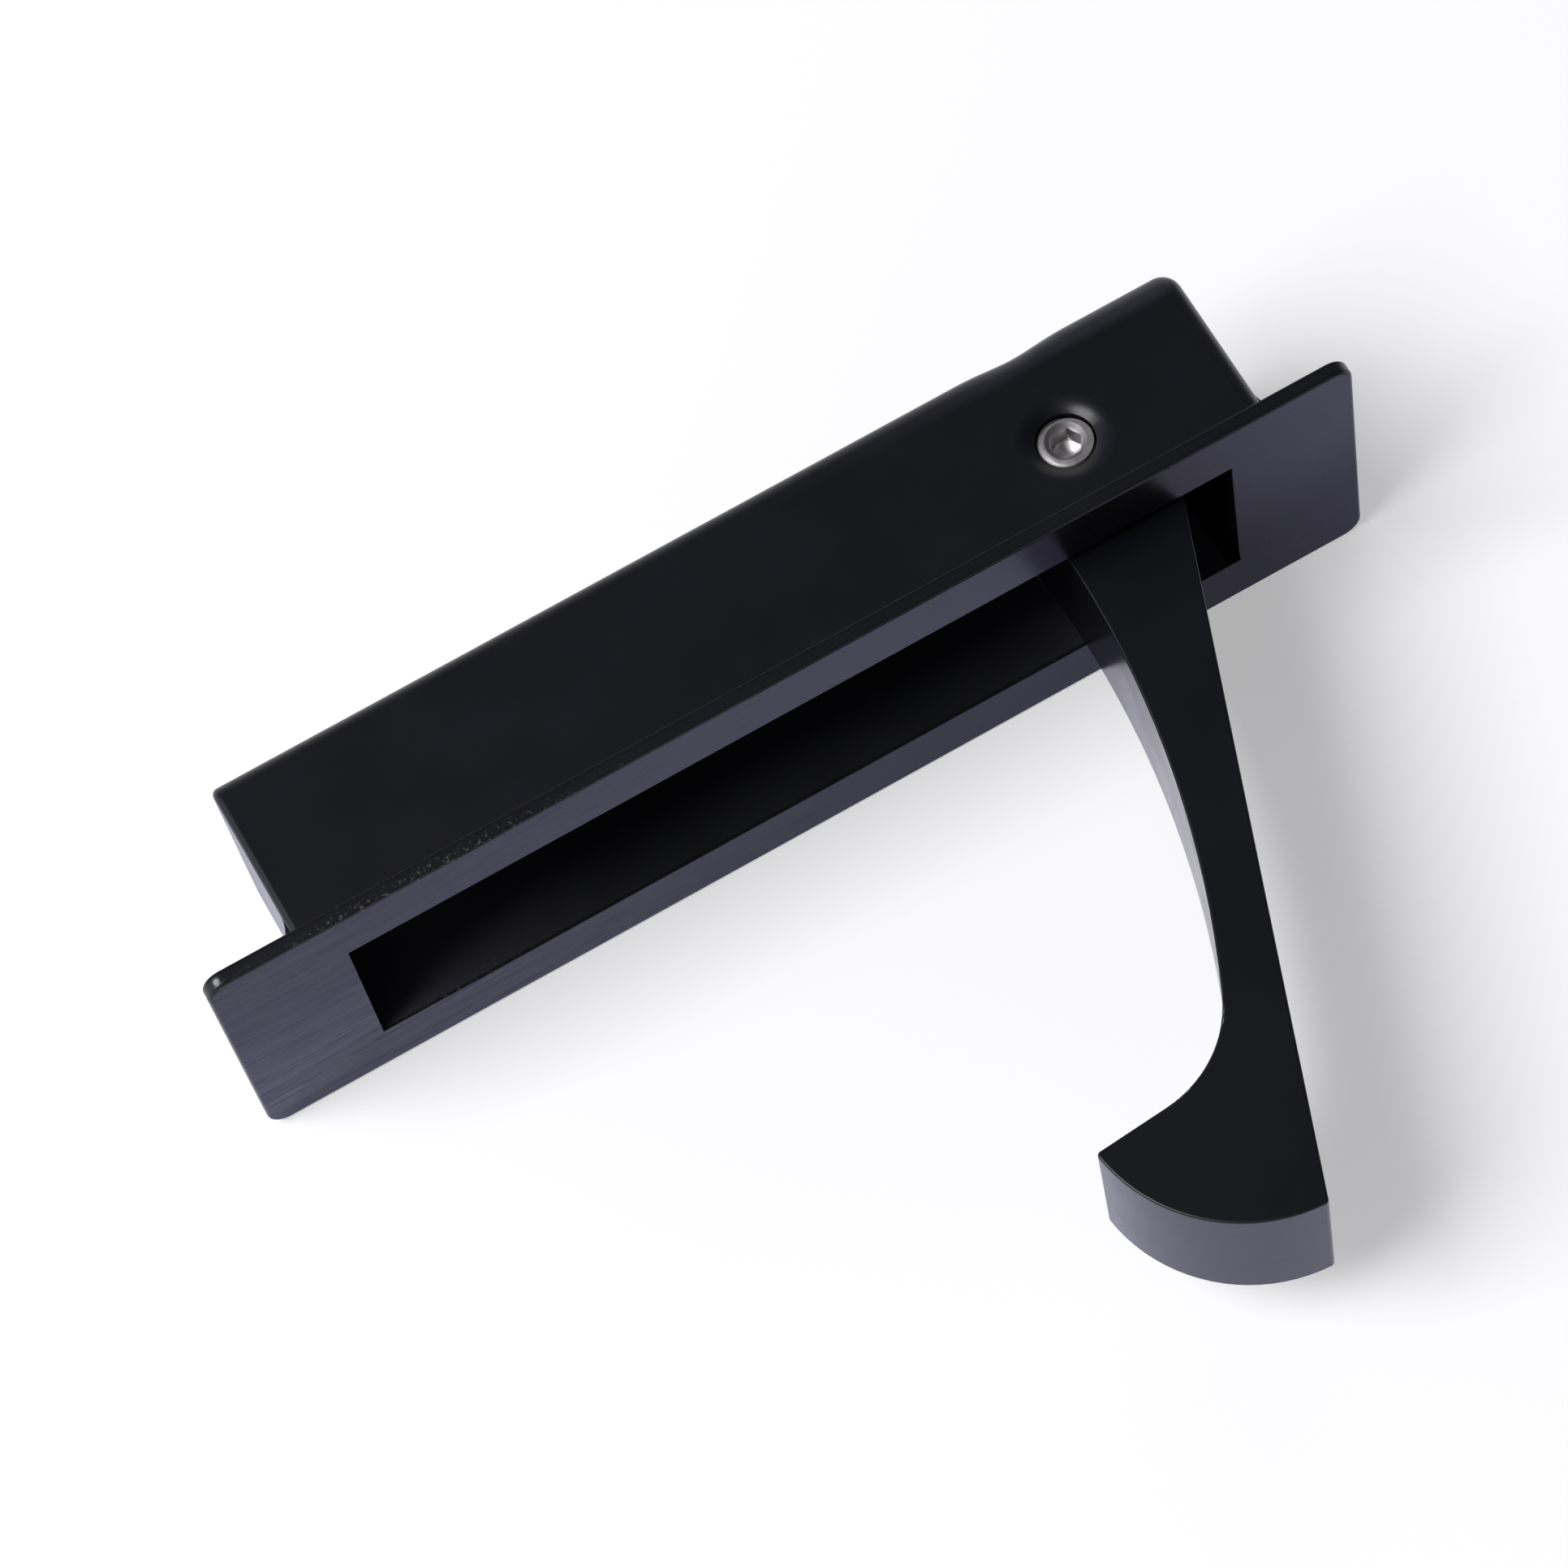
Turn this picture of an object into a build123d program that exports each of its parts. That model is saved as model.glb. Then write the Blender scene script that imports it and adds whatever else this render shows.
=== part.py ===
from build123d import *
from math import acos, atan2, cos, degrees, radians, sin, sqrt, tan
import os

# Concealed cabinet pull: a cast box with a rimmed front plate is let into a door, and a hooked lever
# swings out of its slot on a long socket set screw that crosses the box.
#
# X runs along the plate towards the pivot end, Y runs into the door, Z runs along the pivot screw.
# The origin is the middle of the plate's back face, the face that lies on the door.
# The lever is modelled swung fully open. Sizes are in millimetres.

# Front plate
plate_length = 105.0
plate_width = 28.5
plate_thickness = 1.4
plate_corner_radius = 1.8
plate_edge_round = 0.35
plate_back_round = 0.3

# Slot through the plate, and the box behind it
slot_length = 81.7
slot_width = 16.5
slot_edge_round = 0.12
side_wall = 2.25
foot_end_wall = 3.3
pivot_end_wall = 4.85
floor_thickness = 0.8
floor_fillet = 0.5
pivot_end_corner_radius = 1.8
back_edge_round = 1.5
foot_end_edge_round = 0.6
root_fillet = 1.5
end_root_radius = 3.6
scallop_length = 10.0
scallop_depth = 0.3

# Pivot: a socket set screw through both side walls, its thread left plain
pivot_from_slot_end = 10.5
screw_diameter = 5.0
screw_recess = 0.5
screw_socket_chamfer = 0.3
screw_point_chamfer = 0.75
socket_across_flats = 2.5
socket_depth = 2.4
socket_mouth_diameter = 3.5
drill_point_angle = 118.0
thread_clearance = 0.03
bearing_clearance = 0.07
dimple_diameter = 8.2
far_countersink = 0.35

# Washers that keep the lever in the middle of the slot
washer_diameter = 10.0
washer_bore = 5.3
washer_thickness = 1.0
washer_play = 0.075

# Lever, measured from the pivot axis: along its flat front face, and square to that face
lever_open_angle = 70.0
front_face_height = 8.6
foot_depth = 8.4
foot_tip_setback = 7.45
foot_hook_run = 12.1
foot_end_radius = 14.0
foot_throat_radius = 10.3
arch_radius = 93.0
arch_height = 4.0
boss_radius = 5.0
lever_corner_round = 0.4
lever_edge_round = 0.2

# Room round the lever: foot and heel to the slot's ends, heel to floor when open, foot to floor when closed
foot_end_gap = 3.25
heel_end_gap = 0.55
stop_gap = 0.25
foot_floor_gap = 0.3

# Places that follow from the sizes above
slot_end = slot_length / 2
box_width = slot_width + 2 * side_wall
box_foot_end = -slot_end - foot_end_wall
box_pivot_end = slot_end + pivot_end_wall
pivot_x = slot_end - pivot_from_slot_end
pivot_y = front_face_height - plate_thickness
cavity_depth = pivot_y + foot_depth + foot_floor_gap
box_depth = cavity_depth + floor_thickness
screw_length = box_width - 2 * screw_recess
lever_thickness = slot_width - 2 * washer_thickness - 4 * washer_play
lever_reach = slot_length - pivot_from_slot_end - foot_end_gap
foot_tip_reach = lever_reach - foot_tip_setback
foot_throat_reach = foot_tip_reach - foot_hook_run
heel_radius = pivot_from_slot_end - heel_end_gap
stop_distance = cavity_depth - pivot_y - stop_gap


def polar(radius, angle):
    """Point at a radius and an angle in degrees about the lever's pivot."""
    return (radius * cos(radians(angle)), radius * sin(radians(angle)))


def deeper_than(depth):
    """Test for edges whose middle lies deeper in the door than the given depth."""
    return lambda edge: edge.center().Y > depth


# Housing: the box is drawn from the side, with a shallow scallop in its back behind the pivot
with BuildPart() as housing:
    with BuildSketch(Plane.XY.offset(-box_width / 2)):
        with BuildLine():
            foot_side = Polyline(
                (box_pivot_end, 0),
                (box_foot_end, 0),
                (box_foot_end, box_depth),
                (pivot_x - scallop_length / 2, box_depth),
            )
            scallop = Spline(
                foot_side @ 1,
                (pivot_x, box_depth - scallop_depth),
                (pivot_x + scallop_length / 2, box_depth),
                tangents=((1, 0), (1, 0)),
            )
            knuckle = Line(scallop @ 1, (box_pivot_end - pivot_end_corner_radius, box_depth))
            corner = JernArc(knuckle @ 1, (1, 0), pivot_end_corner_radius, -90)
            Line(corner @ 1, foot_side @ 0)
        make_face()
    extrude(amount=box_width)
    side_edges = housing.faces().filter_by(Axis.Z).edges().filter_by(deeper_than(root_fillet))
    fillet(side_edges.filter_by(lambda edge: edge.center().X > -slot_end), radius=back_edge_round)
    foot_end_face = housing.faces().filter_by(Axis.X).sort_by(Axis.X)[0]
    fillet(foot_end_face.edges().filter_by(deeper_than(root_fillet)), radius=foot_end_edge_round)

    with BuildSketch(Plane.XZ):
        RectangleRounded(plate_length, plate_width, plate_corner_radius)
    extrude(amount=plate_thickness)
    back_of_plate = housing.faces().filter_by(Axis.Y).sort_by(Axis.Y)[1]
    fillet(back_of_plate.inner_wires()[0].edges(), radius=root_fillet)
    back_of_plate = housing.faces().filter_by(Axis.Y).sort_by(Axis.Y)[1]
    fillet(back_of_plate.outer_wire().edges(), radius=plate_back_round)
    front_of_plate = housing.faces().filter_by(Axis.Y).sort_by(Axis.Y)[0]
    fillet(front_of_plate.edges(), radius=plate_edge_round)

    # The box spreads out where its two end walls meet the plate
    for end_x, outwards, side_round in (
        (box_pivot_end, 1, back_edge_round),
        (box_foot_end, -1, foot_end_edge_round),
    ):
        with BuildSketch(Plane.XY.offset(-box_width / 2 + side_round)):
            with BuildLine():
                flare = JernArc((end_x, end_root_radius), (0, -1), end_root_radius, 90 * outwards)
                Polyline(flare @ 1, (end_x, 0), flare @ 0)
            make_face()
        extrude(amount=box_width - 2 * side_round)

    with BuildSketch(Plane.XZ.offset(plate_thickness)):
        Rectangle(slot_length, slot_width)
    extrude(amount=-(plate_thickness + cavity_depth), mode=Mode.SUBTRACT)
    front_of_plate = housing.faces().filter_by(Axis.Y).sort_by(Axis.Y)[0]
    fillet(front_of_plate.inner_wires()[0].edges(), radius=slot_edge_round)
    cavity_floor = housing.faces().filter_by(Axis.Y).sort_by(Axis.Y)[2]
    fillet(cavity_floor.edges(), radius=floor_fillet)

    with BuildSketch(Plane.XY.offset(-box_width / 2)):
        with Locations((pivot_x, pivot_y)):
            Circle(screw_diameter / 2 + thread_clearance)
    extrude(amount=box_width, mode=Mode.SUBTRACT)
    with BuildSketch(Plane((pivot_x, pivot_y, box_width / 2), x_dir=(1, 0, 0), z_dir=(0, -1, 0))):
        with BuildLine():
            hole_edge = (screw_diameter / 2 + thread_clearance, -screw_recess)
            dimple = TangentArc((dimple_diameter / 2, 0), hole_edge, tangent=(-1, 0))
            Polyline(dimple @ 1, (0, -screw_recess), (0, 0), dimple @ 0)
        make_face()
    revolve(axis=Axis((pivot_x, pivot_y, 0), (0, 0, 1)), mode=Mode.SUBTRACT)
    with Locations((pivot_x, pivot_y, -box_width / 2 + far_countersink / 2)):
        Cone(
            screw_diameter / 2 + far_countersink,
            screw_diameter / 2,
            far_countersink,
            mode=Mode.SUBTRACT,
        )

# Pivot screw: hexagon socket at the top, chamfered flat point at the bottom
with BuildPart() as pivot_screw:
    with BuildSketch(Plane((pivot_x, pivot_y, -screw_length / 2))):
        Circle(screw_diameter / 2)
    extrude(amount=screw_length)
    chamfer(pivot_screw.faces().sort_by(Axis.Z)[-1].edges(), length=screw_socket_chamfer)
    chamfer(pivot_screw.faces().sort_by(Axis.Z)[0].edges(), length=screw_point_chamfer)
    with BuildSketch(Plane((pivot_x, pivot_y, screw_length / 2))):
        RegularPolygon(socket_across_flats / 2, 6, major_radius=False)
    extrude(amount=-socket_depth, mode=Mode.SUBTRACT)
    mouth_depth = (socket_mouth_diameter - socket_across_flats) / 2
    with Locations((pivot_x, pivot_y, screw_length / 2 - mouth_depth / 2)):
        Cone(socket_across_flats / 2, socket_mouth_diameter / 2, mouth_depth, mode=Mode.SUBTRACT)
    drill_depth = socket_across_flats / 2 / tan(radians(drill_point_angle / 2))
    with Locations((pivot_x, pivot_y, screw_length / 2 - socket_depth - drill_depth / 2)):
        Cone(0, socket_across_flats / 2, drill_depth, mode=Mode.SUBTRACT)

# Washers: one each side of the lever
washers = {}
for washer_name, washer_z in (
    ("washer_upper", lever_thickness / 2 + washer_play),
    ("washer_lower", -lever_thickness / 2 - washer_play - washer_thickness),
):
    with BuildPart() as washer:
        with BuildSketch(Plane((pivot_x, pivot_y, washer_z))):
            Circle(washer_diameter / 2)
            Circle(washer_bore / 2, mode=Mode.SUBTRACT)
        extrude(amount=washer_thickness)
    washers[washer_name] = washer

# Lever: its side view is drawn about the pivot, with the flat front face along the sketch's X
lever_plane = Plane(
    origin=(pivot_x, pivot_y, -lever_thickness / 2),
    x_dir=(-cos(radians(lever_open_angle)), -sin(radians(lever_open_angle)), 0),
    z_dir=(0, 0, 1),
)

# The arch under the lever is an arc that leaves the boss at a tangent and reaches arch_height
arch_centre_height = arch_height - arch_radius
arch_centre_reach = sqrt((arch_radius + boss_radius) ** 2 - arch_centre_height**2)
arch_centre = (arch_centre_reach, arch_centre_height)
boss_to_arch = degrees(atan2(arch_centre_height, arch_centre_reach))
boss_arch_point = polar(boss_radius, boss_to_arch)

# The throat of the foot is a tighter arc inside the arch, touching it
throat_run = foot_throat_reach - arch_centre_reach
throat_height = arch_centre_height + sqrt((arch_radius - foot_throat_radius) ** 2 - throat_run**2)
throat_centre = Vector(foot_throat_reach, throat_height)
to_throat = (throat_centre - Vector(*arch_centre)).normalized()
arch_throat_point = Vector(*arch_centre) + to_throat * arch_radius
foot_tip = Vector(foot_tip_reach, -foot_depth)
tip_from_throat = foot_tip - throat_centre
throat_turn = degrees(atan2(tip_from_throat.Y, tip_from_throat.X))
throat_turn += degrees(acos(foot_throat_radius / tip_from_throat.length))
throat_tip_point = throat_centre + Vector(*polar(foot_throat_radius, throat_turn))

# The heel is round about the pivot, with a flat that meets the floor when the lever is fully open
stop_direction = 270 - lever_open_angle
toe_direction = stop_direction - degrees(acos(stop_distance / heel_radius))
flat_foot = polar(stop_distance, stop_direction)
boss_flat_point = polar(boss_radius, stop_direction + degrees(acos(boss_radius / stop_distance)))
heel_toe = Vector(*polar(heel_radius, toe_direction))
heel_corner = Vector(-sqrt(heel_radius**2 - front_face_height**2), front_face_height)
front_corner = Vector(lever_reach, front_face_height)

with BuildPart() as lever:
    with BuildSketch(lever_plane):
        with BuildLine():
            Line(heel_corner, front_corner)
            RadiusArc(front_corner, foot_tip, foot_end_radius)
            Line(foot_tip, throat_tip_point)
            RadiusArc(throat_tip_point, arch_throat_point, -foot_throat_radius)
            RadiusArc(arch_throat_point, boss_arch_point, -arch_radius)
            RadiusArc(boss_arch_point, boss_flat_point, boss_radius)
            Line(boss_flat_point, flat_foot)
            Line(flat_foot, heel_toe)
            RadiusArc(heel_toe, heel_corner, heel_radius)
        make_face()
        Circle(screw_diameter / 2 + bearing_clearance, mode=Mode.SUBTRACT)
    extrude(amount=lever_thickness)
    upright_edges = lever.edges().filter_by(Axis.Z)
    corner_edges = [
        upright_edges.sort_by_distance(lever_plane.from_local_coords(corner))[0]
        for corner in (heel_corner, front_corner, foot_tip, heel_toe)
    ]
    fillet(corner_edges, radius=lever_corner_round)
    for side in lever.faces().filter_by(Axis.Z):
        fillet(side.outer_wire().edges(), radius=lever_edge_round)

housing.part.label = "housing"
lever.part.label = "lever"
pivot_screw.part.label = "pivot_screw"
os.makedirs("parts", exist_ok=True)
export_step(housing.part, "parts/housing.step")
export_step(lever.part, "parts/lever.step")
export_step(pivot_screw.part, "parts/pivot_screw.step")
for washer_name, washer in washers.items():
    washer.part.label = washer_name
    export_step(washer.part, f"parts/{washer_name}.step")
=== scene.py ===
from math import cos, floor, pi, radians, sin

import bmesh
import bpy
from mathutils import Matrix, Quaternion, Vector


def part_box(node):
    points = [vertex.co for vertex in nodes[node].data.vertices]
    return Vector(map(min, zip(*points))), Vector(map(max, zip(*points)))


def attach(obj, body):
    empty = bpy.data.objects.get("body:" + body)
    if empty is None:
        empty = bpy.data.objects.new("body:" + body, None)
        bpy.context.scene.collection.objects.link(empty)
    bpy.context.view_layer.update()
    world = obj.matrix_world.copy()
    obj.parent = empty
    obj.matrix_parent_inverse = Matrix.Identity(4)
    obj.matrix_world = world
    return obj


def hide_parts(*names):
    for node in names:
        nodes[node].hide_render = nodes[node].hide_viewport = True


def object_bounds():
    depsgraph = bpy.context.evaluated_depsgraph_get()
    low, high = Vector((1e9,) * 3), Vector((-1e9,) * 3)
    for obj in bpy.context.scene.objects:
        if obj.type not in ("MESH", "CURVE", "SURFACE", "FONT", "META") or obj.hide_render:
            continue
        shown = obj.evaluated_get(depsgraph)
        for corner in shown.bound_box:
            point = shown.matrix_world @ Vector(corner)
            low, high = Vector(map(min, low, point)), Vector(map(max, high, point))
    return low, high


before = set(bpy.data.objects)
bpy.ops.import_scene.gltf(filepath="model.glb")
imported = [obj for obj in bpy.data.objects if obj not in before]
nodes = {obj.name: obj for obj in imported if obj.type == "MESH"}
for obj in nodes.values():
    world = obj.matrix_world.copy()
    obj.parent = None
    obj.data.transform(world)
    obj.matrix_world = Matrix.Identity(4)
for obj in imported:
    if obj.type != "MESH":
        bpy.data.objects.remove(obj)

# Looks of a concealed cabinet pull. The object lies as photographed: the long edge of its plate rests
# on a white table, with the socket of the pivot screw on top. Sizes below are in millimetres, and MM
# turns them into Blender's metres. X runs along the plate, Y into the door, Z along the pivot screw.

MM = 0.001
cad_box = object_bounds()


# Camera, as fitted to the photograph's edges

camera_place = Vector((-58.05, -209.53, 450.18))
camera_aim = Vector((-2.706, -2.320, -1.484))
camera_roll = -15.26
camera_lens = 140.16
camera_sensor = 36.0


def add_camera():
    data = bpy.data.cameras.new("camera")
    data.lens = camera_lens
    data.sensor_width = camera_sensor
    data.sensor_fit = "HORIZONTAL"
    data.clip_start = 0.01
    data.clip_end = 20.0
    camera = bpy.data.objects.new("camera", data)
    bpy.context.scene.collection.objects.link(camera)
    camera.location = camera_place * MM
    camera.rotation_mode = "QUATERNION"
    looking = (camera_aim - camera_place).to_track_quat("-Z", "Y")
    camera.rotation_quaternion = looking @ Quaternion((0, 0, 1), radians(camera_roll))
    bpy.context.scene.camera = camera


# Shader helpers: each returns an output socket

def new_material(name):
    """An empty node material, with its tree and its output node."""
    material = bpy.data.materials.new(name)
    material.use_nodes = True
    tree = material.node_tree
    tree.nodes.clear()
    output = tree.nodes.new("ShaderNodeOutputMaterial")
    return material, tree, output


def link(tree, value, socket):
    """Joins a socket, or sets a plain number, on an input."""
    if isinstance(value, bpy.types.NodeSocket):
        tree.links.new(value, socket)
    else:
        socket.default_value = value


def calculate(tree, operation, a, b=0.0):
    node = tree.nodes.new("ShaderNodeMath")
    node.operation = operation
    link(tree, a, node.inputs[0])
    link(tree, b, node.inputs[1])
    return node.outputs[0]


def product(tree, *values):
    result = values[0]
    for value in values[1:]:
        result = calculate(tree, "MULTIPLY", result, value)
    return result


def ramp(tree, value, low, high, out_low=0.0, out_high=1.0):
    """Smooth change from out_low to out_high as the value goes from low to high."""
    node = tree.nodes.new("ShaderNodeMapRange")
    node.interpolation_type = "SMOOTHSTEP"
    link(tree, value, node.inputs["Value"])
    node.inputs["From Min"].default_value = low
    node.inputs["From Max"].default_value = high
    node.inputs["To Min"].default_value = out_low
    node.inputs["To Max"].default_value = out_high
    return node.outputs[0]


def falling(tree, value, low, high):
    """Smooth change from 1 to 0 as the value goes from low to high."""
    return ramp(tree, value, low, high, 1.0, 0.0)


def coordinates(tree):
    """Place in millimetres and normal of the shaded point, in the CAD frame."""
    node = tree.nodes.new("ShaderNodeTexCoord")
    scaled = tree.nodes.new("ShaderNodeVectorMath")
    scaled.operation = "SCALE"
    scaled.inputs["Scale"].default_value = 1 / MM
    place = tree.nodes.new("ShaderNodeSeparateXYZ")
    normal = tree.nodes.new("ShaderNodeSeparateXYZ")
    tree.links.new(node.outputs["Object"], scaled.inputs[0])
    tree.links.new(scaled.outputs[0], place.inputs[0])
    tree.links.new(node.outputs["Normal"], normal.inputs[0])
    return scaled.outputs[0], place.outputs, normal.outputs


noise_spread = (0.3, 0.7)


def noise(tree, where, per_mm, detail=2.0, roughness=0.5):
    """Noise from 0 to 1, mostly within noise_spread, with per_mm cells to the millimetre.

    per_mm is one number, or three for X, Y and Z.
    """
    mapping = tree.nodes.new("ShaderNodeMapping")
    mapping.inputs["Scale"].default_value = per_mm if isinstance(per_mm, tuple) else (per_mm,) * 3
    tree.links.new(where, mapping.inputs["Vector"])
    node = tree.nodes.new("ShaderNodeTexNoise")
    node.inputs["Scale"].default_value = 1.0
    node.inputs["Detail"].default_value = detail
    node.inputs["Roughness"].default_value = roughness
    tree.links.new(mapping.outputs[0], node.inputs["Vector"])
    return node.outputs["Fac"]


def blend(tree, share, first, second):
    """Colour between two colours or sockets."""
    node = tree.nodes.new("ShaderNodeMix")
    node.data_type = "RGBA"
    link(tree, share, node.inputs["Factor"])
    for value, name in ((first, "A"), (second, "B")):
        socket = [s for s in node.inputs if s.name == name and s.type == "RGBA"][0]
        link(tree, value if isinstance(value, bpy.types.NodeSocket) else (*value, 1), socket)
    return [s for s in node.outputs if s.type == "RGBA"][0]


def scale_colour(tree, colour, factor):
    node = tree.nodes.new("ShaderNodeVectorMath")
    node.operation = "SCALE"
    link(tree, colour, node.inputs[0])
    link(tree, factor, node.inputs["Scale"])
    return node.outputs[0]


def bump(tree, height, depth):
    node = tree.nodes.new("ShaderNodeBump")
    node.inputs["Distance"].default_value = depth * MM
    link(tree, height, node.inputs["Height"])
    return node.outputs["Normal"]


# Stage and light

table_half_size = 3000.0
table_colour = (0.72, 0.715, 0.745)
table_glow = 0.40
plain_white_from = 120.0
plain_white_full = 400.0


def add_table():
    """Pale table under the object. Seen directly or as a reflection, it turns plain white further out."""
    material, tree, output = new_material("table")
    paper = tree.nodes.new("ShaderNodeBsdfDiffuse")
    paper.inputs["Color"].default_value = (*table_colour, 1)
    glow = tree.nodes.new("ShaderNodeEmission")
    lit = tree.nodes.new("ShaderNodeAddShader")
    white = tree.nodes.new("ShaderNodeEmission")
    mix = tree.nodes.new("ShaderNodeMixShader")
    path = tree.nodes.new("ShaderNodeLightPath")
    place = tree.nodes.new("ShaderNodeTexCoord")
    far = tree.nodes.new("ShaderNodeVectorMath")
    far.operation = "LENGTH"
    tree.links.new(place.outputs["Object"], far.inputs[0])
    direct = calculate(tree, "MAXIMUM", path.outputs["Is Camera Ray"], path.outputs["Is Glossy Ray"])
    seen = calculate(tree, "MAXIMUM", direct, path.outputs["Is Transmission Ray"])
    away = ramp(tree, far.outputs["Value"], plain_white_from * MM, plain_white_full * MM)
    tree.links.new(product(tree, seen, table_glow), glow.inputs["Strength"])
    tree.links.new(paper.outputs[0], lit.inputs[0])
    tree.links.new(glow.outputs[0], lit.inputs[1])
    tree.links.new(product(tree, seen, away), mix.inputs["Fac"])
    tree.links.new(lit.outputs[0], mix.inputs[1])
    tree.links.new(white.outputs[0], mix.inputs[2])
    tree.links.new(mix.outputs[0], output.inputs["Surface"])

    half = table_half_size * MM
    height = cad_box[0].z
    corners = [(-half, -half, height), (half, -half, height), (half, half, height), (-half, half, height)]
    mesh = bpy.data.meshes.new("table")
    mesh.from_pydata(corners, [], [(0, 1, 2, 3)])
    table = bpy.data.objects.new("table", mesh)
    table.data.materials.append(material)
    bpy.context.scene.collection.objects.link(table)


room_horizon = (0.88, 0.87, 0.94)
room_overhead = (0.085, 0.088, 0.112)
overhead_from = 0.84
bright_side = (-0.99, 0.14, 0.0)
dim_side_share = 0.18
dim_side_at = -0.8
bright_side_at = 0.5


def add_room():
    """Pale round the horizon, dim overhead, and brighter on the left and in front than behind."""
    world = bpy.data.worlds.new("studio")
    bpy.context.scene.world = world
    world.use_nodes = True
    tree = world.node_tree
    tree.nodes.clear()
    output = tree.nodes.new("ShaderNodeOutputWorld")
    room = tree.nodes.new("ShaderNodeBackground")
    place = tree.nodes.new("ShaderNodeTexCoord")
    split = tree.nodes.new("ShaderNodeSeparateXYZ")
    sideways = tree.nodes.new("ShaderNodeVectorMath")
    sideways.operation = "DOT_PRODUCT"
    sideways.inputs[1].default_value = bright_side
    tree.links.new(place.outputs["Generated"], split.inputs[0])
    tree.links.new(place.outputs["Generated"], sideways.inputs[0])
    upwards = ramp(tree, split.outputs["Z"], 0.0, overhead_from)
    share = ramp(tree, sideways.outputs["Value"], dim_side_at, bright_side_at, dim_side_share, 1.0)
    tree.links.new(blend(tree, upwards, room_horizon, room_overhead), room.inputs["Color"])
    tree.links.new(share, room.inputs["Strength"])
    tree.links.new(room.outputs[0], output.inputs["Surface"])


def add_softbox(name, azimuth, elevation, distance, size, power):
    """Square lamp that faces the object. Azimuth 0 lies on -Y, where the lever's foot points."""
    data = bpy.data.lights.new(name, "AREA")
    data.shape = "SQUARE"
    data.size = size * MM
    data.energy = power
    lamp = bpy.data.objects.new(name, data)
    a, e = radians(azimuth), radians(elevation)
    towards = Vector((sin(a) * cos(e), -cos(a) * cos(e), sin(e)))
    lamp.location = towards * distance * MM
    lamp.rotation_mode = "QUATERNION"
    lamp.rotation_quaternion = towards.to_track_quat("Z", "Y")
    bpy.context.scene.collection.objects.link(lamp)


# Black finish of the housing and the lever. A pair of numbers is the two ends of one change.

black = (0.0034, 0.0038, 0.0058)
# Painted light: these paler blacks lift the shaded slot and the box's back edges, paler towards the ends
painted_light_dim = (0.014, 0.0145, 0.018)
painted_light_pale = (0.036, 0.036, 0.048)
brushed_dark = (0.017, 0.0165, 0.023)
brushed_pale = (0.050, 0.0485, 0.058)
worn_edge = (0.075, 0.076, 0.080)
# Painted highlight colour for a small spot on the plate's corner
painted_highlight_colour = (0.30, 0.30, 0.31)
satin_roughness = 0.45
plate_roughness = 0.27
lever_roughness = 0.21
roughness_change = 0.03
gloss_level = 0.17
plate_tint = (0.82, 0.81, 1.0)
lever_tint = (0.85, 0.84, 0.96)
metal_share = 0.88
lacquer_share = 0.55
lacquer_roughness = 0.28
brush_depth = 0.004
grain_depth = 0.0015

fine_line_cells = (0.12, 0.12, 6.0)
broad_streak_cells = (0.05, 0.05, 1.2)
deep_scratch_cells = (0.16, 0.16, 2.8)
fine_line_share = 0.65
scratch_level = (0.58, 0.66)
scratch_strength = 0.7
grain_cells = 5.0
mottle_cells = 0.12
mottle_change = 0.10
speck_cells = 2.8
speck_level = (0.56, 0.68)
painted_light_towards_ends = (15.0, 38.0)


def nowhere(tree, *unused):
    return 0.0


def barely(tree, *unused):
    return 0.2


def evenly(tree, *unused):
    return 1.0


def brush_lines(tree, where):
    """Fine grain, broad streaks and a few deeper scratches that all run square to Z."""
    fine = noise(tree, where, fine_line_cells, detail=2.0)
    broad = noise(tree, where, broad_streak_cells, detail=3.0)
    deep = noise(tree, where, deep_scratch_cells, detail=1.0)
    scratches = ramp(tree, deep, *scratch_level)
    soft = calculate(tree, "ADD",
                     ramp(tree, fine, *noise_spread, 0.0, fine_line_share),
                     ramp(tree, broad, *noise_spread, 0.0, 1 - fine_line_share))
    return calculate(tree, "SUBTRACT", soft, product(tree, scratches, scratch_strength))


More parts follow.
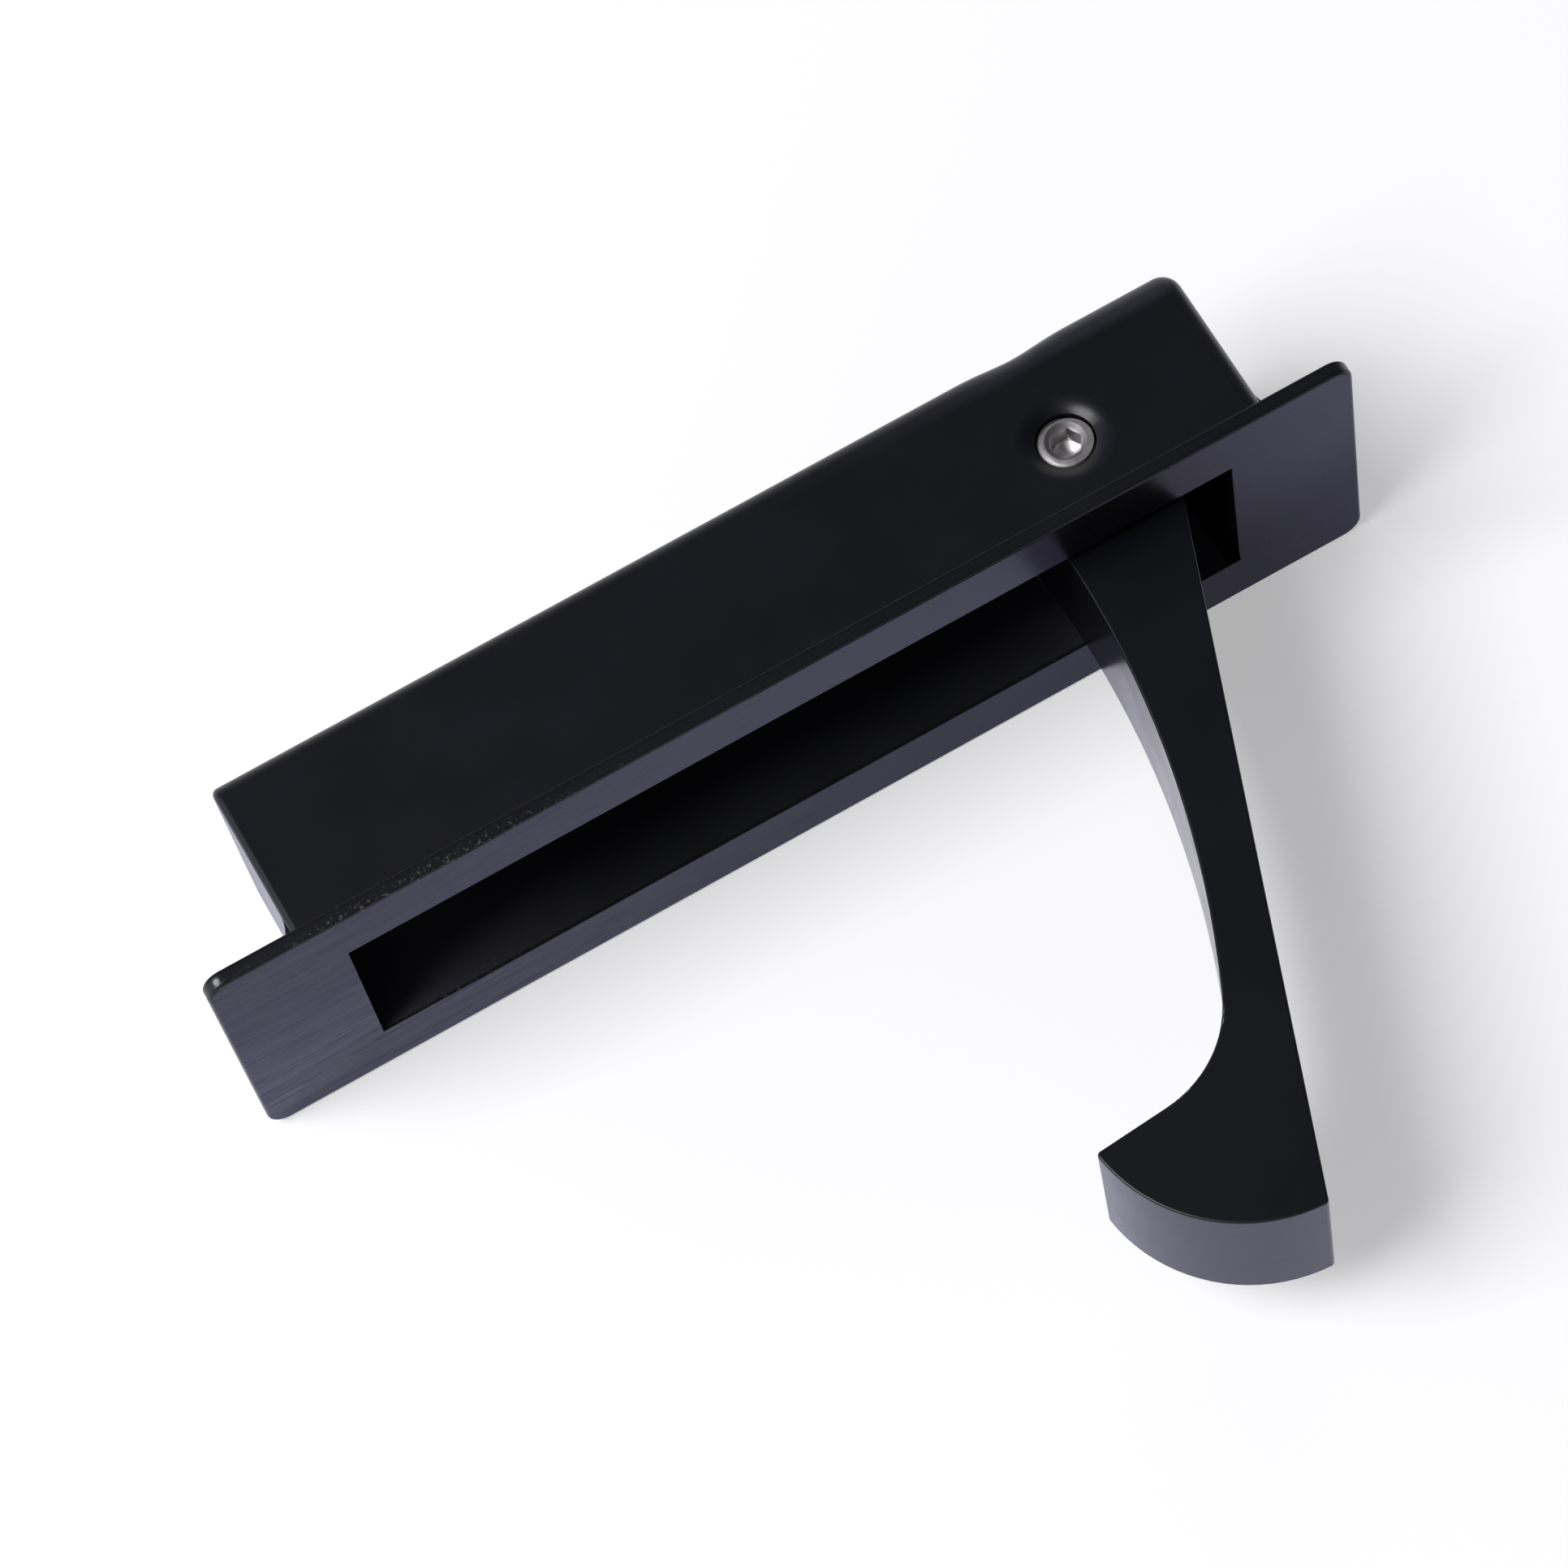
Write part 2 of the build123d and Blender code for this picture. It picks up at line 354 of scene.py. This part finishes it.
def black_finish(name, tint, brushed_roughness, line_contrast, brushed_zone, worn_zone,
                 tone=evenly, painted_light_zone=nowhere, highlight_zone=nowhere, bare_zone=nowhere):
    """Black lacquer over zones that are brushed, speckled with wear or bare of gloss, with painted light
    lifting the slot and the box's back edges, a painted highlight in one spot, and a tone that can paint a
    reflection on the brushed colour.
    """
    material, tree, output = new_material(name)
    shader = tree.nodes.new("ShaderNodeBsdfPrincipled")
    shader.inputs["Specular IOR Level"].default_value = gloss_level
    shader.inputs["Specular Tint"].default_value = (*tint, 1)
    shader.inputs["Coat Roughness"].default_value = lacquer_roughness
    where, place, normal = coordinates(tree)
    brushed = brushed_zone(tree, place, normal)
    lines = brush_lines(tree, where)
    grain = noise(tree, where, grain_cells)
    mottle = noise(tree, where, mottle_cells, detail=3.0)
    specks = ramp(tree, noise(tree, where, speck_cells, detail=2.0, roughness=0.6), *speck_level)
    worn = product(tree, specks, worn_zone(tree, place, normal))

    contrast = line_contrast(tree, place, normal)
    off_middle = product(tree, calculate(tree, "SUBTRACT", lines, 0.5), contrast)
    lined = blend(tree, calculate(tree, "ADD", 0.5, off_middle), brushed_dark, brushed_pale)
    # The tone scales the brushed colour; on the housing it is a painted reflection
    toned = scale_colour(tree, lined, tone(tree, place, normal))
    # Painted light lifts the slot and the box's back edges, paler towards the ends
    ends = ramp(tree, calculate(tree, "ABSOLUTE", place["X"]), *painted_light_towards_ends)
    painted_light_colour = blend(tree, ends, painted_light_dim, painted_light_pale)
    black_with_painted_light = blend(tree, painted_light_zone(tree, place, normal), black, painted_light_colour)
    shade = ramp(tree, mottle, *noise_spread, 1 - mottle_change, 1 + mottle_change)
    plain = scale_colour(tree, blend(tree, brushed, black_with_painted_light, toned), shade)
    speckled = blend(tree, worn, plain, worn_edge)
    # Painted highlight: a pale spot on the plate's corner
    colour = blend(tree, highlight_zone(tree, where), speckled, painted_highlight_colour)

    rough = calculate(tree, "ADD",
                      ramp(tree, brushed, 0, 1, satin_roughness, brushed_roughness),
                      ramp(tree, mottle, *noise_spread, -roughness_change, roughness_change))
    height = calculate(tree, "ADD",
                       product(tree, lines, brushed, contrast),
                       product(tree, grain, grain_depth / brush_depth))
    lacquer = ramp(tree, brushed, 0, 1, lacquer_share, 0.0)
    glossy = calculate(tree, "SUBTRACT", 1.0, bare_zone(tree, place, normal))
    tree.links.new(colour, shader.inputs["Base Color"])
    tree.links.new(rough, shader.inputs["Roughness"])
    tree.links.new(product(tree, brushed, metal_share), shader.inputs["Metallic"])
    tree.links.new(product(tree, lacquer, glossy), shader.inputs["Coat Weight"])
    tree.links.new(bump(tree, height, brush_depth), shader.inputs["Normal"])
    tree.links.new(shader.outputs[0], output.inputs["Surface"])
    return material


# Zones of the housing, from places and normals on it

# Painted reflection on the plate: these numbers scale its brushed colour by place
tone_along = (-48.0, 30.0)
tone_change = (1.7, 0.35)
tone_upwards = (-7.0, 7.0)
lines_fade_along = (-44.0, 10.0)
lines_contrast = (0.85, 0.15)
lines_fade_upwards = (-9.0, 9.0)
upper_lines = 0.65
lines_end_behind = (-0.8, 0.5)
lines_behind = 0.15

turned_from_front = (-0.95, -0.6)
front_layer = (-1.1, -0.9)
turned_from_end = (-0.98, -0.90)
box_foot_end = (-43.9, -43.6)
past_end_root = (0.8, 2.2)
plate_top_layer = (13.6, 13.9)
plate_back_layer = (-0.5, -0.25)

worn_top_layer = (13.7, 14.1)
worn_front_half = (-1.15, -0.5)
worn_back_half = 0.15
edge_wear_begins = (-47.0, -40.0)
edge_wear_before = 0.2
edge_wear_ends = (-32.0, -8.0)
lip_layer = (-1.0, 0.4)
lip_turned_up = (0.5, 0.9)
lip_height = (-8.4, -8.0)
lip_wear_ends = (-36.0, -24.0)

# Painted light in the slot: its place and size
slot_zone_shift = 1.3
slot_half_length = (40.9, 41.2)
slot_half_width = (8.35, 8.6)
slot_mouth = (-1.3, -1.0)
slot_floor = (16.1, 16.4)
# Painted sheen on the box's back edges, growing towards the pivot end
box_sides = (8.6, 9.0)
box_back_edges = (13.9, 15.2)
painted_sheen_along = (-5.0, 30.0)
painted_sheen_share = 0.6

# Painted highlight on the plate's upper corner at the foot end
highlight_centre = (-51.25, -0.8, 14.15)
highlight_radius = 0.40
highlight_core = 0.3


def painted_reflection_tone(tree, place, normal):
    """Painted reflection: paler on the plate's lower half at the foot end, and darker there at the pivot
    end, as the lit table and the lever's shadow on it would show in the plate.
    """
    along = ramp(tree, place["X"], *tone_along, *tone_change)
    upper = ramp(tree, place["Z"], *tone_upwards)
    lower = calculate(tree, "SUBTRACT", 1.0, upper)
    return calculate(tree, "ADD", product(tree, along, lower), upper)


def fading_along(tree, place, normal):
    """Strong at the plate's foot end and low on it, faint towards the pivot end and behind the plate."""
    along = ramp(tree, place["X"], *lines_fade_along, *lines_contrast)
    lower = ramp(tree, place["Z"], *lines_fade_upwards, 1.0, upper_lines)
    return product(tree, along, lower, ramp(tree, place["Y"], *lines_end_behind, 1.0, lines_behind))


def smooth_faces(tree, place, normal):
    """1 on the plate's front face and on the smooth end of the box, at the foot end."""
    facing_front = falling(tree, normal["Y"], *turned_from_front)
    front = product(tree, facing_front, falling(tree, place["Y"], *front_layer))
    facing_end = falling(tree, normal["X"], *turned_from_end)
    at_end = product(tree, falling(tree, place["X"], *box_foot_end), ramp(tree, place["Y"], *past_end_root))
    return calculate(tree, "MAXIMUM", front, product(tree, facing_end, at_end))


def plate_back_edge(tree, place, normal):
    """1 on the rounded back edge of the plate's long upper edge."""
    return product(tree, ramp(tree, place["Z"], *plate_top_layer), ramp(tree, place["Y"], *plate_back_layer))


def plate_wear(tree, place, normal):
    """Wear on the plate's long upper edge, most at its front, and on the slot's lower lip, near the foot."""
    upper_edge = ramp(tree, place["Z"], *worn_top_layer)
    front_half = ramp(tree, place["Y"], *worn_front_half, 1.0, worn_back_half)
    begins = ramp(tree, place["X"], *edge_wear_begins, edge_wear_before, 1.0)
    ends = falling(tree, place["X"], *edge_wear_ends)
    edge_wear = product(tree, upper_edge, front_half, begins, ends)
    lip = product(tree,
                  falling(tree, place["Y"], *lip_layer),
                  ramp(tree, normal["Z"], *lip_turned_up),
                  falling(tree, place["Z"], *lip_height),
                  falling(tree, place["X"], *lip_wear_ends))
    return calculate(tree, "ADD", edge_wear, lip)


def painted_slot_and_edge_light(tree, place, normal):
    """Painted light: 1 in the shaded slot, short of its end wall at the pivot end, and less as a painted
    sheen on the box's back edges there.
    """
    from_middle = calculate(tree, "ABSOLUTE", calculate(tree, "ADD", place["X"], slot_zone_shift))
    from_centre_line = calculate(tree, "ABSOLUTE", place["Z"])
    in_slot = product(tree,
                      falling(tree, from_middle, *slot_half_length),
                      falling(tree, from_centre_line, *slot_half_width),
                      ramp(tree, place["Y"], *slot_mouth),
                      falling(tree, place["Y"], *slot_floor))
    # Painted sheen: a paler band on the box's back edges
    painted_edge_sheen = product(tree,
                        ramp(tree, from_centre_line, *box_sides),
                        ramp(tree, place["Y"], *box_back_edges),
                        ramp(tree, place["X"], *painted_sheen_along, 0.0, painted_sheen_share))
    return calculate(tree, "MAXIMUM", in_slot, painted_edge_sheen)


def painted_corner_highlight(tree, where):
    """Painted highlight: 1 in a small round spot on the plate's upper corner, at the foot end."""
    away = tree.nodes.new("ShaderNodeVectorMath")
    away.operation = "DISTANCE"
    away.inputs[1].default_value = highlight_centre
    tree.links.new(where, away.inputs[0])
    return falling(tree, away.outputs["Value"], highlight_radius * highlight_core, highlight_radius)


# Zones of the lever

turned_to_side = (0.3, 0.8)
edge_slope_from = (0.3, 0.6)
edge_slope_to = (0.8, 0.97)
lever_wear_outwards = (-42.0, -30.0)
lever_wear_strength = 0.16


def narrow_faces(tree, place, normal):
    """1 on the lever's narrow faces, between its two flat sides."""
    return falling(tree, calculate(tree, "ABSOLUTE", normal["Z"]), *turned_to_side)


def lever_wear(tree, place, normal):
    """Faint wear on the lever's edges, from the plate down to the throat of its hook."""
    slope = calculate(tree, "ABSOLUTE", normal["Z"])
    edges = product(tree, ramp(tree, slope, *edge_slope_from), falling(tree, slope, *edge_slope_to))
    return product(tree, edges, ramp(tree, place["Y"], *lever_wear_outwards), lever_wear_strength)


# Bright metal and black nylon

pivot_axis = (30.35, 7.2)
steel_bright = (0.64, 0.63, 0.65)
steel_stain_and_shade = (0.30, 0.245, 0.21)
tarnish_cells = 1.2
tarnish_level = (0.35, 0.7)
tarnish_strength = 0.35
socket_heights = (9.0, 9.4)
socket_stain = (0.1, 0.6)
rim_heights = (9.55, 9.75)
rim_brightness = 0.58
# Painted shade round the rim's outer edge
rim_shade_radii = (2.12, 2.36)
rim_shade_strength = 0.55
turned_ring_cells = (9.0, 1.0, 9.0)
turned_ring_share = 0.6
steel_grain_cells = 6.0
steel_roughness = (0.34, 0.48)
rim_extra_roughness = 0.14
turning_depth = 0.018

nylon_dark = (0.016, 0.016, 0.017)
nylon_pale = (0.024, 0.024, 0.025)
nylon_cloud_cells = 0.6
nylon_grain_cells = 9.0
nylon_roughness = (0.5, 0.62)
nylon_grain_depth = 0.003


def off_axis(tree, place):
    """Distance from the pivot's axis."""
    squares = [product(tree, offset, offset) for offset in (
        calculate(tree, "SUBTRACT", place["X"], pivot_axis[0]),
        calculate(tree, "SUBTRACT", place["Y"], pivot_axis[1]))]
    return calculate(tree, "SQRT", calculate(tree, "ADD", *squares))


def steel_finish():
    """Turned stainless steel, with brown stain down in the socket and painted shade round the rim's outer
    edge.
    """
    material, tree, output = new_material("stainless")
    shader = tree.nodes.new("ShaderNodeBsdfPrincipled")
    shader.inputs["Metallic"].default_value = 1.0
    where, place = coordinates(tree)[:2]
    radius = off_axis(tree, place)
    on_rim = ramp(tree, place["Z"], *rim_heights)

    tarnish = ramp(tree, noise(tree, where, tarnish_cells, detail=3.0), *tarnish_level)
    sunk = falling(tree, place["Z"], *socket_heights)
    in_socket = product(tree, sunk, ramp(tree, tarnish, 0.0, 1.0, *socket_stain))
    # Painted shade: darker brown round the rim's outer edge
    painted_rim_shade = product(tree, ramp(tree, radius, *rim_shade_radii), rim_shade_strength)
    stain_and_shade = calculate(tree, "MAXIMUM",
                        product(tree, tarnish, tarnish_strength),
                        calculate(tree, "MAXIMUM", in_socket, painted_rim_shade))
    steel = blend(tree, stain_and_shade, steel_bright, steel_stain_and_shade)
    colour = scale_colour(tree, steel, ramp(tree, on_rim, 0, 1, 1.0, rim_brightness))

    rings = tree.nodes.new("ShaderNodeCombineXYZ")
    tree.links.new(radius, rings.inputs["X"])
    tree.links.new(place["Z"], rings.inputs["Z"])
    turned = calculate(tree, "ADD",
                       product(tree, noise(tree, rings.outputs[0], turned_ring_cells), turned_ring_share),
                       product(tree, noise(tree, where, steel_grain_cells), 1 - turned_ring_share))
    rough = calculate(tree, "ADD",
                      ramp(tree, turned, *noise_spread, *steel_roughness),
                      product(tree, on_rim, rim_extra_roughness))
    tree.links.new(colour, shader.inputs["Base Color"])
    tree.links.new(rough, shader.inputs["Roughness"])
    tree.links.new(bump(tree, turned, turning_depth), shader.inputs["Normal"])
    tree.links.new(shader.outputs[0], output.inputs["Surface"])
    return material


def nylon_finish():
    """Moulded black nylon, slightly cloudy."""
    material, tree, output = new_material("nylon")
    shader = tree.nodes.new("ShaderNodeBsdfPrincipled")
    where = coordinates(tree)[0]
    clouds = noise(tree, where, nylon_cloud_cells, detail=3.0)
    grain = noise(tree, where, nylon_grain_cells)
    cloudy = ramp(tree, clouds, *noise_spread)
    tree.links.new(blend(tree, cloudy, nylon_dark, nylon_pale), shader.inputs["Base Color"])
    tree.links.new(ramp(tree, clouds, *noise_spread, *nylon_roughness), shader.inputs["Roughness"])
    tree.links.new(bump(tree, grain, nylon_grain_depth), shader.inputs["Normal"])
    tree.links.new(shader.outputs[0], output.inputs["Surface"])
    return material


# Pivot screw with its thread: it takes the place, length and diameter of the plain CAD screw

thread_pitch = 0.8
thread_depth = 0.49
thread_clearance = 0.08
thread_start = 0.43
crest_share = 0.125
root_share = 0.25
screw_columns = 72
rows_per_pitch = 8
point_chamfer = 0.75
rim_chamfer = 0.10
socket_flats = 2.5
socket_depth = 2.4
socket_mouth = 3.5
drill_depth = 0.75
merge_distance = 0.0005
smooth_below = 28


def thread_radius(crest_radius, phase):
    """Radius of the thread at a phase from 0 to 1 along one pitch."""
    flank = (1 - crest_share - root_share) / 2
    if phase < crest_share:
        depth = 0.0
    elif phase < crest_share + flank:
        depth = (phase - crest_share) / flank
    elif phase < crest_share + flank + root_share:
        depth = 1.0
    else:
        depth = (1 - phase) / flank
    return crest_radius - depth * thread_depth


def screw_point(radius, height, turn, axis):
    angle = 2 * pi * turn
    return ((axis.x + radius * cos(angle)) * MM, (axis.y + radius * sin(angle)) * MM, height * MM)


def add_screw(material):
    """Threaded set screw, built on rows that climb with the thread and are cut level at both ends."""
    low, high = (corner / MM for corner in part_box("pivot_screw"))
    axis = (low + high) / 2
    crest_radius = (high.x - low.x) / 2 - thread_clearance

    def body_radius(turn, height):
        phase = (height / thread_pitch - turn + thread_start) % 1
        at_point = crest_radius - point_chamfer + (height - low.z)
        at_rim = crest_radius - rim_chamfer + (high.z - height)
        return min(thread_radius(crest_radius, phase), at_point, at_rim)

    def body_row(row):
        points = []
        for column in range(screw_columns + 1):
            turn = column / screw_columns
            height = (row / rows_per_pitch + turn) * thread_pitch
            height = min(max(height, low.z), high.z)
            points.append(screw_point(body_radius(turn % 1, height), height, turn, axis))
        return points

    def hexagon_radius(turn):
        from_corner = (turn * 6) % 1
        return socket_flats / 2 / cos(radians(60 * from_corner - 30))

    def level_row(radius_at, height_at):
        turns = [column / screw_columns for column in range(screw_columns + 1)]
        return [screw_point(radius_at(t), height_at(t), t, axis) for t in turns]

    mouth = socket_mouth / 2
    inner = socket_flats / 2
    floor_height = high.z - socket_depth
    first_row = floor((low.z / thread_pitch - 1) * rows_per_pitch)
    last_row = floor((high.z / thread_pitch) * rows_per_pitch) + 1
    rows = [level_row(lambda t: 0.0, lambda t: low.z)]
    rows += [body_row(row) for row in range(first_row, last_row + 1)]
    rows += [
        level_row(lambda t: mouth, lambda t: high.z),
        level_row(hexagon_radius, lambda t: high.z - (mouth - hexagon_radius(t))),
        level_row(hexagon_radius, lambda t: floor_height),
        level_row(lambda t: inner, lambda t: floor_height),
        level_row(lambda t: 0.0, lambda t: floor_height - drill_depth),
    ]
    return mesh_from_rows("threaded_screw", rows, material)


def mesh_from_rows(name, rows, material):
    """Object whose faces join each row of points to the next. Points that coincide are merged."""
    mesh = bpy.data.meshes.new(name)
    builder = bmesh.new()
    grid = [[builder.verts.new(point) for point in row] for row in rows]
    for lower, upper in zip(grid, grid[1:]):
        for i in range(len(lower) - 1):
            builder.faces.new((lower[i], lower[i + 1], upper[i + 1], upper[i]))
    bmesh.ops.remove_doubles(builder, verts=builder.verts, dist=merge_distance * MM)
    bmesh.ops.dissolve_degenerate(builder, edges=builder.edges, dist=merge_distance * MM)
    bmesh.ops.recalc_face_normals(builder, faces=builder.faces)
    builder.to_mesh(mesh)
    builder.free()
    mesh.materials.append(material)
    piece = bpy.data.objects.new(name, mesh)
    bpy.context.scene.collection.objects.link(piece)
    return piece


def shade_by_angle(piece, degrees):
    """Smooth shading, apart from edges sharper than the angle."""
    mesh = piece.data
    mesh.polygons.foreach_set("use_smooth", [True] * len(mesh.polygons))
    mesh.set_sharp_from_angle(angle=radians(degrees))


def dress(node_name, material):
    """Gives a CAD node its finish."""
    slots = nodes[node_name].data.materials
    slots.clear()
    slots.append(material)


add_camera()
add_table()
add_room()
add_softbox("key", azimuth=-92, elevation=54, distance=1200, size=700, power=13.5)
add_softbox("rear", azimuth=150, elevation=22, distance=1200, size=800, power=1.2)

dress("housing", black_finish("black_casting", plate_tint, plate_roughness, fading_along, smooth_faces,
                              plate_wear, tone=painted_reflection_tone, painted_light_zone=painted_slot_and_edge_light,
                              highlight_zone=painted_corner_highlight, bare_zone=plate_back_edge))
dress("lever", black_finish("black_lever", lever_tint, lever_roughness, barely, narrow_faces, lever_wear))
stainless = steel_finish()
dress("pivot_screw", stainless)
nylon = nylon_finish()
for washer_name in ("washer_upper", "washer_lower"):
    dress(washer_name, nylon)

screw = add_screw(stainless)
shade_by_angle(screw, smooth_below)
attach(screw, "housing")
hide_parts("pivot_screw")

bpy.context.scene.view_settings.view_transform = "Standard"
